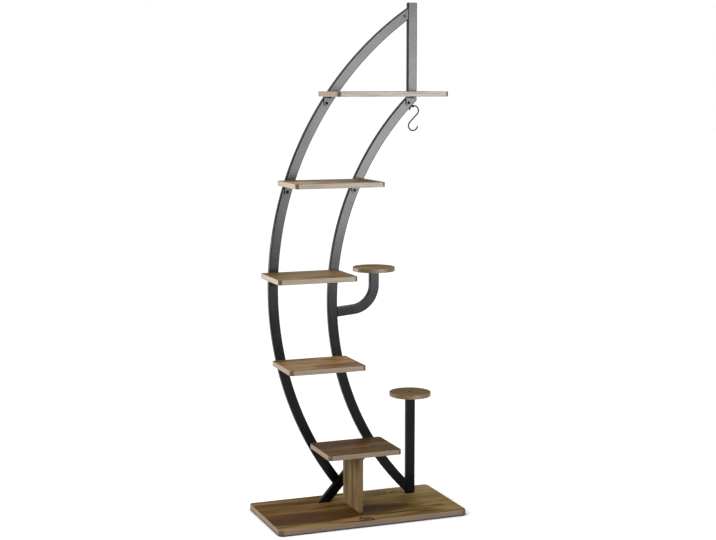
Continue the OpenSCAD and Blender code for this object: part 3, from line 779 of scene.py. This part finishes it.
def flat_screw_rings():
    """A low flat head with a cross recess, on a short shank."""
    head = sleeve_screw_wide
    shank = sleeve_screw_wide / 2
    recess = cross_reach(arm=0.0023, half_wide=0.0005)
    rows = socket_rows(recess, ((0.1, 0.0010), (0.9, 0.0009), (1, 0.0001), (1.06, 0.0)))
    rows += [(head * 0.86, 0.0), (head * 0.96, 0.0002), (head, 0.0006), (head, sleeve_head_high)]
    rows += [(shank, sleeve_head_high), (shank, sleeve_head_high + sleeve_screw_long)]
    return screw_rings(rows, 48)


sleeve_head_out = tube_deep / 2 + sleeve_head_high
sleeve_screw_heads = [place(seam + way * sleeve_screw_reach, 0, sleeve_head_out)
                      for place, seam in ((outer_place, outer_seam), (inner_place, inner_seam))
                      for way in (-1, 1)]
screw_set("sleeve_screws", zinc_plate, flat_screw_rings(), sleeve_screw_heads, (0, -1, 0))


# Upper arcs: the same rolled tube from the seams up. The outer one ends against the mast's
# left face, over the mast's spigot, and the inner one is mitred to the mast's foot.


def inner_arc_high(out, x):
    """How high a line of the inner arc, so far out from its middle, stands at x."""
    return inner_arc[2] + math.sqrt((inner_arc[0] + out) ** 2 - (x - inner_arc[1]) ** 2)


mitre_left = inner_arc_high(tube_wide / 2, upright_left)
mitre_right = inner_arc_high(-tube_wide / 2, upright_left + tube_wide)


def over_mitre(p):
    """How far a point lies above the mitre of the mast and the inner arc."""
    return p.z - mitre_left - (p.x - upright_left) / tube_wide * (mitre_right - mitre_left)


tube_piece("outer_arc_upper", outer_place, square_cut(outer_seam),
           meets(outer_place, 0.7, 1.2, lambda p: p.x - upright_left), 130)
tube_piece("inner_arc_upper", inner_place, square_cut(inner_seam),
           meets(inner_place, 0.5, 0.8, over_mitre), 90)


# Mast: an upright length of the tube, welded over the mitre and closed on top by a black
# plastic cap. A spigot in its left face carries the outer arc, held by one screw in front.
mast_top = 1.5475
tube_piece("mast", upright_place, meets(upright_place, 1.20, 1.32, over_mitre), square_cut(mast_top), 24)
cap_low, cap_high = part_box("mast_cap")
cap_plastic, cap_shader = new_finish("black moulded plastic", 0.42, 0.35)
cap_place = place_on(cap_plastic)
cap_spark = grain(cap_plastic, cap_place, (1500.0, 1500.0, 1500.0), 2.0)
cap_cloud = grain(cap_plastic, cap_place, (120.0, 120.0, 120.0))
feed(cap_plastic, cap_shader, {
    "Base Color": blend_colour(cap_plastic, cap_cloud, (0.0055, 0.0055, 0.006), (0.011, 0.011, 0.012)),
    "Roughness": spread(cap_plastic, cap_spark, 0.3, 0.7, 0.36, 0.5),
})
raise_bumps(cap_plastic, cap_shader, cap_spark, distance=0.00005, strength=0.5)
flange, wear_and_shade_marks = rounded_outline(cap_low, cap_high, tube_corner, tube_lead, 5)
# The plug in the tube, then the flange over the tube's end with its rounded top edge.
plug_in = tube_wall + 0.0002
plug_lead = 0.0006
cap_rows = [(plug_in + plug_lead, cap_low.z), (plug_in, cap_low.z + 0.001), (plug_in, mast_top)]
cap_rows += [(0.0001, mast_top), (0.0, mast_top + 0.0002), (0.0, cap_high.z - 0.0011)]
cap_rows += [(0.00025, cap_high.z - 0.0005), (0.0009, cap_high.z - 0.0001), (0.0016, cap_high.z)]
cap_rings = [[(x, y, z) for x, y in flange(inset)] for inset, z in cap_rows]
stands_for(skin_piece("mast_cap_moulded", cap_rings, [cap_plastic], corner=wear_and_shade_marks), "mast_cap")
dress_node("arc_spigot", bare_steel)
spigot_screw_left = 0.011
spigot_turn = math.acos((outer_arc[1] - (upright_left - spigot_screw_left)) / outer_arc[0])
spigot_spot = outer_place(outer_arc[0] * spigot_turn, 0, -sleeve_head_out)
black_screw = black_coat("black oxide screws", 0.34)
screw_set("spigot_screw", black_screw, flat_screw_rings(), [spigot_spot], (0, 1, 0))


# Plate arm: the same tube bent round a small radius. Its sloping end is coped and welded to
# the inner arc, and its upright end holds a tapped block for the upper plate's screw.
arm_bend = 0.074
arm_bend_high = 0.692
arm_x = 0.086
arm_rise = math.radians(5)
arm_bend_long = arm_bend * (math.pi / 2 - arm_rise)
arm_top = 0.7345


def arm_place(along, across, depth):
    """Places on the arm: below 0 on its sloping run, then on its bend, then on its upright."""
    bent = min(max(along, 0), arm_bend_long)
    turn = arm_rise - math.pi / 2 + bent / arm_bend
    reach = arm_bend + across
    straight = along - bent
    x = arm_x - arm_bend + reach * math.cos(turn) - straight * math.sin(turn)
    z = arm_bend_high + reach * math.sin(turn) + straight * math.cos(turn)
    return Vector((x, tube_mid + depth, z))


tube_piece("plate_arm", arm_place, meets(arm_place, -0.09, 0.0, outside_of(inner_arc, -tube_wide / 2)),
           square_cut(arm_bend_long + arm_top - arm_bend_high), 110)


# Post: a short upright board between the base and the first shelf, with the same grained
# faces and paler band. Two screws come up into it and two dowels enter the shelf.
post_low, post_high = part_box("post_board")
post_corner = 0.003
post_lead = 0.0008
post_outline = rounded_outline(post_low, post_high, post_corner, post_lead, 5)[0]
post_stains = [(0.09, -0.01, 0.1, 0.012, 0.55, dark_stain), (0.13, 0.045, 0.09, 0.01, 0.5, dark_stain)]
post_face = rustic_face("post grain", 11.0, "z", heart=(0.01, 0.03), calm=0.52, shade=(0.74, 0.92, 1.4),
                        stains=post_stains)
post_band = rim_band("post band", 4.0, (0.145, 0.078, 0.021), gloss=0.20)
post_tall = post_high.z - post_low.z
post_eases = [(0.0006, 0.0), (0.0002, 0.0002), (0.0, 0.0006)]
post_rows = post_eases + [(inset, post_tall - height) for inset, height in reversed(post_eases)]
post_rings = [[(x, y, post_low.z + height) for x, y in post_outline(inset)] for inset, height in post_rows]
post_board = skin_piece("post_board_faced", post_rings, [post_face, post_band])
for polygon in post_board.data.polygons:
    if abs(polygon.normal.x) < 0.7 and abs(polygon.normal.z) < 0.7:
        polygon.material_index = 1
stands_for(post_board, "post_board")
post_screw_long = 0.050
post_recess = cross_reach(arm=0.0024, half_wide=0.0006)
post_screw_rings = csk_screw_rings(post_screw_wide, post_screw_long, post_recess)
post_screw_heads = [(x, y, head_recess) for x, y in post_screw_spots]
screw_set("post_screws", zinc_plate, post_screw_rings, post_screw_heads, (0, 0, 1))
dowel_beech = bare_wood("beech dowel", 0.6, 0.3, (900.0, 900.0, 40.0), (0.40, 0.26, 0.13),
                        (0.62, 0.45, 0.26))
dress_node("post_dowels", dowel_beech)


# Brackets: ten strips of 16 x 3 mm steel bent to an L with round ends, black like the frame.
# One leg lies on the tube behind a button-headed bolt in a rivet nut, and the other carries
# a shelf on two pan-headed wood screws.
shelf_names = ["shelf_1", "shelf_2", "shelf_3", "shelf_4", "shelf_5"]
bracket_wide = 0.016
bracket_thick = 0.003
bracket_ease = 0.00035
bracket_lead = 0.0001
bracket_bend = 0.0025
bolt_drop = 0.020
nut_flange = 0.0008
tube_front = tube_mid - tube_deep / 2
wood_screw_reaches = (0.015, 0.033)


def strip_half_width(from_tip):
    """Half the strip's width at a distance from its round end."""
    half = bracket_wide / 2
    return half if from_tip >= half else math.sqrt(half ** 2 - (half - from_tip) ** 2)


def bracket_piece(node):
    """One bent bracket: rings of the strip's section along its run from the lower tip."""
    low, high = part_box(node)
    middle_x = (low.x + high.x) / 2
    back, top = high.y, high.z
    inner = bracket_bend + bracket_thick / 2
    down = top - inner - low.z
    bend_long = bracket_bend * math.pi / 2
    out = back - inner - low.y
    whole = down + bend_long + out
    half = bracket_wide / 2
    # Lengths from a tip, closer together where the round end is narrow.
    tips = [0.00003, 0.0002, 0.0006, 0.0013, 0.0022, 0.0034, 0.0048, 0.0063, half]
    stations = tips + [down * 0.9, *(down + bend_long * step / 6 for step in range(7)),
                       down + bend_long + out * 0.5, *(whole - tip for tip in reversed(tips))]
    rings = []
    for station in stations:
        turn = min(max((station - down) / bracket_bend, 0), math.pi / 2)
        centre_y = back - inner + bracket_bend * math.cos(turn) - max(station - down - bend_long, 0)
        centre_z = top - inner + bracket_bend * math.sin(turn) - max(down - station, 0)
        reach = strip_half_width(min(station, whole - station))
        ease = min(bracket_ease, reach / 2)
        lead = bracket_lead * reach / half
        section, corner = section_outline(reach, bracket_thick / 2, ease, lead, 3)
        rings.append([(middle_x + across, centre_y + lift * math.cos(turn), centre_z + lift * math.sin(turn))
                      for across, lift in section(0)])
    stands_for(skin_piece(node + "_bent", rings, [frame_coat], corner=corner), node)
    return middle_x, top


bolt_head = 0.00475
bolt_head_high = 0.00275
bolt_shank = 0.0025
bolt_long = 0.0118


def button_bolt_rings():
    """A button head with a hexagon socket, on its shank."""
    socket = hex_reach(flats=0.003)
    rows = socket_rows(socket, ((0.08, 0.0018), (0.95, 0.0015), (1, 0.0003), (1.06, 0.00018)))
    turns = (0.42, 0.55, 0.7, 0.85, 1.0, 1.13, 1.25)
    dome_high = bolt_head_high * 0.96 / (1 - math.cos(turns[-1]))
    dome_reach = bolt_head / math.sin(turns[-1])
    rows += [(dome_reach * math.sin(a), dome_high * (1 - math.cos(a))) for a in turns]
    rows += [(bolt_head, bolt_head_high), (bolt_shank, bolt_head_high)]
    rows.append((bolt_shank, bolt_head_high + bolt_long))
    return screw_rings(rows)


pan_head = 0.0040
pan_head_high = 0.0024
pan_shank = 0.0020
pan_long = 0.0164
pan_point = 0.0034


def pan_screw_rings():
    """A pan head with a cross recess, on a pointed wood screw's shank."""
    recess = cross_reach(arm=0.0021, half_wide=0.00045)
    rows = socket_rows(recess, ((0.1, 0.0015), (0.8, 0.0013), (1, 0.0002), (1.08, 0.0001)))
    rows += [(0.0026, 0.0001), (0.0033, 0.0004), (0.0038, 0.0010), (pan_head, 0.0017)]
    rows += [(pan_head, pan_head_high), (pan_shank, pan_head_high)]
    rows += [(pan_shank, pan_long - pan_point), (0.0003, pan_long)]
    return screw_rings(rows, 48)


bolt_heads, screw_heads = [], []
for shelf in shelf_names:
    for side in ("left", "right"):
        x, under = bracket_piece(f"{shelf}_{side}_bracket")
        head_y = tube_front - nut_flange - bracket_thick - bolt_head_high
        bolt_heads.append((x, head_y, under - bolt_drop))
        head_z = under - bracket_thick - pan_head_high
        screw_heads += [(x, tube_front - reach, head_z) for reach in wood_screw_reaches]
screw_set("bracket_bolts", black_screw, button_bolt_rings(), bolt_heads, (0, 1, 0))
screw_set("shelf_screws", black_screw, pan_screw_rings(), screw_heads, (0, 0, 1))
dress_node("rivet_nuts", bare_steel)


# Shelves: five 15 mm boards with rounded corners, grained and banded like the base. Each one
# lies on two brackets, and the lowest also sits on the post's dowels.
shelf_corner = 0.010
# The pale patches at the left of the second and third shelves and the light patch at the left of the fourth
# are painted sheen from the left.
shelf_marks = [
    dict(shade=(0.48, 0.45, 0.42), gloss=0.06, heart=(0.02, 0.05),
         knots=[(0.06, -0.03, 0.006, 2.4, 0.8)],
         stains=[(-0.05, 0.02, 0.09, 0.014, 0.6, dark_stain), (0.05, -0.075, 0.08, 0.01, 0.45, dark_stain)]),
    dict(shade=(1.08, 1.18, 1.25), gloss=0.15, heart=(-0.07, 0.04),
         knots=[(-0.08, 0.03, 0.005, 2.4, 0.8)],
         stains=[(-0.21, -0.05, 0.07, 0.05, 0.5, pale_patch_and_sheen), (-0.20, 0.045, 0.10, 0.014, 0.6, dark_stain),
                 (-0.06, -0.07, 0.05, 0.01, 0.5, dark_stain)]),
    dict(shade=(0.99, 1.05, 1.05), gloss=0.15, heart=(0.05, 0.06),
         stains=[(-0.24, 0.045, 0.07, 0.030, 0.65, dark_stain), (-0.12, -0.075, 0.08, 0.012, 0.5, dark_stain),
                 (-0.24, -0.075, 0.05, 0.03, 0.5, pale_patch_and_sheen)]),
    dict(shade=(1.08, 1.14, 1.18), gloss=0.18, heart=(-0.03, 0.05),
         knots=[(-0.13, 0.01, 0.005, 2.4, 0.8)],
         stains=[(-0.215, -0.04, 0.08, 0.07, 0.95, light_patch_and_sheen), (0.03, -0.03, 0.11, 0.06, 0.8, dark_stain)]),
    dict(shade=(1.1, 1.1, 1.1), gloss=0.18, heart=(0.0, 0.05),
         knots=[(0.13, -0.04, 0.006, 2.4, 0.8)],
         stains=[(0.02, 0.03, 0.12, 0.012, 0.5, dark_stain)]),
]
# The one band is given its own colour on each shelf, darker on the first and greyer on the fourth and fifth,
# as painted light.
band_colours_as_lit = [(0.140, 0.087, 0.037), (0.156, 0.099, 0.046), (0.156, 0.099, 0.046), (0.146, 0.097, 0.049),
                (0.162, 0.112, 0.072)]
# How dark the painted shade at each shelf's band corners is.
shelf_painted_shade = [0.78, 0.93, 1.0, 0.80, 0.80]
for number, shelf in enumerate(shelf_names):
    low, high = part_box(shelf)
    outline, wear_and_shade_marks = rounded_outline(low, high, shelf_corner)
    face = rustic_face(shelf + " grain", 20.0 + 7.3 * number, **shelf_marks[number])
    band = rim_band(shelf + " band", 10.0 + number, band_colours_as_lit[number], shelf_painted_shade[number], rough_grain=0.5)
    board = banded_board(shelf + "_faced", outline, wear_and_shade_marks, low.z, high.z, face, band)
    stands_for(board, shelf)


# Round plates: two 12 mm wooden discs, grained and banded like the shelves. One countersunk
# screw holds each to the tapped block in the tube below.
plate_screw_wide = 0.006
plate_screw_long = 0.022


def round_outline(x, y, radius, steps=120, dark_from=68, dark_to=81):
    """The outline of a round plate, with a stretch of band at its front left marked for painted shade."""

    def outline(inset):
        turns = [2 * math.pi * step / steps for step in range(steps)]
        reach = radius - inset
        return [(x + reach * math.cos(a), y + reach * math.sin(a)) for a in turns]

    wear_and_shade_marks = [1.0 if dark_from < step < dark_to else 0.0 for step in range(steps)]
    wear_and_shade_marks[dark_from] = wear_and_shade_marks[dark_to] = 0.5
    return outline, wear_and_shade_marks


plate_screw_heads = []
# The last number on each plate is how dark the painted shade on its band's front left is.
for plate, seed, shade, dark_share in (("upper_plate", 61.0, (0.98, 1.08, 1.10), 0.65),
                                       ("lower_plate", 73.0, (0.72, 0.80, 0.88), 0.2)):
    low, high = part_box(plate)
    x, y = ((low + high) / 2).xy
    outline, wear_and_shade_marks = round_outline(x, y, (high.x - low.x) / 2)
    face = rustic_face(plate + " grain", seed, heart=(y - 0.02, 0.035), turn=0.25, shade=shade)
    band = rim_band(plate + " band", seed, (0.145, 0.092, 0.042), dark_share, rough_grain=0.8)
    board = banded_board(plate + "_faced", outline, wear_and_shade_marks, low.z, high.z, face, band)
    cut_holes(board, [csk_cutter(plate_screw_wide, high.z - low.z, (x, y, high.z), (0, 0, -1))])
    stands_for(board, plate)
    plate_screw_heads.append((x, y, high.z - head_recess))
plate_screw_rings = csk_screw_rings(plate_screw_wide, plate_screw_long, hex_reach(flats=0.004))
screw_set("plate_screws", black_screw, plate_screw_rings, plate_screw_heads, (0, 0, -1))
dress_node("plate_inserts", bare_steel)


# Hook eye and S-hook: a staple of 3 mm wire welded under the top of the inner arc, and an S of
# 4 mm wire that hangs from its bar and swings. Both are blackened.
hook_black = black_coat("blackened wire", 0.45, 0.05)


def wire_piece(name, route, radius, finish, round_tips=True, steps=20):
    """A wire swept along a route, with its tips rounded."""
    route = [Vector(p) for p in route]
    last = len(route) - 1
    ways = [(route[min(k + 1, last)] - route[max(k - 1, 0)]).normalized() for k in range(last + 1)]
    side = ways[0].orthogonal().normalized()
    frames = []
    for k, way in enumerate(ways):
        if k:
            side = ways[k - 1].rotation_difference(way) @ side
        side = (side - way * side.dot(way)).normalized()
        frames.append((route[k], way, side, way.cross(side)))
    rings = []

    def ring(frame_here, reach, shift):
        centre, way, side, over = frame_here
        return [centre + way * shift + (side * math.cos(a) + over * math.sin(a)) * reach
                for a in (2 * math.pi * step / steps for step in range(steps))]

    lifts = [math.radians(a) for a in (84, 66, 45, 22)]
    if round_tips:
        rings += [ring(frames[0], radius * math.cos(a), -radius * math.sin(a)) for a in lifts]
    rings += [ring(here, radius, 0) for here in frames]
    if round_tips:
        rings += [ring(frames[-1], radius * math.cos(a), radius * math.sin(a)) for a in reversed(lifts)]
    piece = skin_piece(name, rings, [finish])
    smooth_piece(piece, 60)
    return piece


hook_x = 0.216677
eye_spot = Vector((hook_x, tube_mid, 1.235))
eye_wire = 0.003
eye_half = 0.0045
eye_stand = 0.0088
eye_bend = 0.0016
toward_arc = math.atan2(eye_spot.z - inner_arc[2], inner_arc[1] - eye_spot.x)
leg_way = Vector((-math.cos(toward_arc), 0, math.sin(toward_arc)))
eye_steps = 6
eye_route = []
for side in (-1, 1):
    half_route = []
    for step in range(eye_steps, -1, -1):
        out = eye_stand * step / eye_steps + eye_bend * (1 - step / eye_steps)
        half_route.append(eye_spot + leg_way * out + Vector((0, side * eye_half, 0)))
    for a in (math.pi / 2 * step / eye_steps for step in range(1, eye_steps + 1)):
        sideways = side * (eye_half - eye_bend * (1 - math.cos(a)))
        half_route.append(eye_spot + leg_way * eye_bend * (1 - math.sin(a)) + Vector((0, sideways, 0)))
    eye_route += half_route if side < 0 else list(reversed(half_route))
hook_eye = wire_piece("hook_eye_wire", eye_route, eye_wire / 2, hook_black, False)
stands_for(hook_eye, "hook_eye")

hook_wire = 0.004
hook_loop = 0.015
hook_span = 0.046
hook_lean = math.radians(3.6)
hook_wrap = math.radians(172)
loop_steps = 60
hook_middle = Vector((hook_x, tube_mid, 1.200939))
cross_turn = math.asin(2 * hook_loop / hook_span)
loop_turns = [hook_wrap - (cross_turn + hook_wrap) * step / loop_steps for step in range(loop_steps + 1)]
upper_loop = [(hook_loop * math.cos(a), hook_span / 2 + hook_loop * math.sin(a)) for a in loop_turns]
lower_loop = [(-x, -z) for x, z in reversed(upper_loop)]
start, end = Vector(upper_loop[-1]), Vector(lower_loop[0])
straight = [start.lerp(end, share) for share in (0.05, 0.2, 0.4, 0.6, 0.8, 0.95)]
hook_route = [hook_middle + Vector((x * math.cos(hook_lean) + z * math.sin(hook_lean), 0,
                                    -x * math.sin(hook_lean) + z * math.cos(hook_lean)))
              for x, z in upper_loop + straight + lower_loop]
s_hook = wire_piece("s_hook_wire", hook_route, hook_wire / 2, hook_black)
stands_for(s_hook, "s_hook", "hook")


# Floor, lamps and camera: a plain pale studio. The floor and the world show white behind the
# stand, and the lamps give a plain soft light. Two panels, at the back left and at the front
# right, shine in gloss alone, as the sheen on the coated tubes.
floor_reach = 30.0
floor_drop = 0.0002
near_glow = 0.46
far_glow = 0.62
shadow_reach = 0.03
fill_light = 0.55
floor_mesh = bpy.data.meshes.new("floor")
floor_mesh.from_pydata([(-floor_reach, -floor_reach, 0), (floor_reach, -floor_reach, 0),
                        (floor_reach, floor_reach, 0), (-floor_reach, floor_reach, 0)], [], [(0, 1, 2, 3)])
floor = add_object("floor", floor_mesh)
floor.location.z = -floor_drop


def seen_white(finish):
    """1 where a surface is seen, also in gloss or through glass, and 0 where it only lights."""
    seen = mix_step(finish, "LightPath").outputs
    in_view = sum_of(finish, "MAXIMUM", seen["Is Camera Ray"], seen["Is Glossy Ray"])
    return sum_of(finish, "MAXIMUM", in_view, seen["Is Transmission Ray"])


floor_paint, floor_shader = new_finish("pale floor", 0.9, 0.1)
floor_shader.inputs["Base Color"].default_value = (0.80, 0.80, 0.80, 1)
far_off = mix_step(floor_paint, "VectorMath", {0: place_on(floor_paint)}, operation="LENGTH").outputs["Value"]
lift = spread(floor_paint, far_off, 0.6, 3.0, near_glow, far_glow)
# Close to the stand the floor's glow is cut, as a painted contact shadow.
near_board = mix_step(floor_paint, "AmbientOcclusion", {"Distance": shadow_reach}, samples=6).outputs["AO"]
lift = times(floor_paint, lift, spread(floor_paint, near_board, 0.3, 1.0, -0.9, 1.0, "LINEAR"))
glow = mix_step(floor_paint, "Emission", {"Strength": times(floor_paint, seen_white(floor_paint), lift)})
both = mix_step(floor_paint, "AddShader", {0: floor_shader.outputs[0], 1: glow.outputs[0]})
feed(floor_paint, floor_paint.node_tree.nodes["Material Output"], {0: both.outputs[0]})
floor_mesh.materials.append(floor_paint)

studio = bpy.data.worlds.new("studio")
bpy.context.scene.world = studio
studio.use_nodes = True
sky_strength = spread(studio, seen_white(studio), 0.0, 1.0, fill_light, 1.0, "LINEAR")
feed(studio, studio.node_tree.nodes["Background"], {"Color": (1, 1, 1, 1), "Strength": sky_strength})


def soft_lamp(name, place, aim, wide, high, power, diffuse=True, glossy=True):
    """A soft panel lamp aimed at a point."""
    light = bpy.data.lights.new(name, "AREA")
    light.shape = "RECTANGLE"
    light.size = wide
    light.size_y = high
    light.energy = power
    lamp = add_object(name, light)
    lamp.location = place
    lamp.rotation_euler = (Vector(aim) - Vector(place)).to_track_quat("-Z", "Y").to_euler()
    lamp.visible_camera = False
    lamp.visible_diffuse = diffuse
    lamp.visible_glossy = glossy


soft_lamp("left key", (-2.0, -0.40, 1.15), (-0.1, 0, 0.9), 1.0, 1.0, 48, glossy=False)
soft_lamp("left sheen", (-1.8, 1.95, 0.65), (-0.2, 0, 0.8), 0.9, 0.7, 38, diffuse=False)
soft_lamp("top fill", (-1.2, -2.2, 3.2), (0, 0, 0.5), 1.8, 1.8, 30)
soft_lamp("right fill", (2.6, -2.6, 2.0), (0, 0, 0.8), 1.8, 1.8, 18)
soft_lamp("front panel", (1.40, -3.0, 1.13), (1.40, 0.0, 1.13), 1.20, 1.36, 262, diffuse=False)

view = bpy.data.cameras.new("camera")
view.lens = 72.32
view.sensor_width = 36.0
camera = add_object("camera", view)
camera.location = (-1.5474, -4.0010, 1.3026)
camera.rotation_euler = (math.radians(82.66), 0, math.radians(-21.18))
bpy.context.scene.camera = camera
bpy.context.scene.view_settings.view_transform = "Standard"
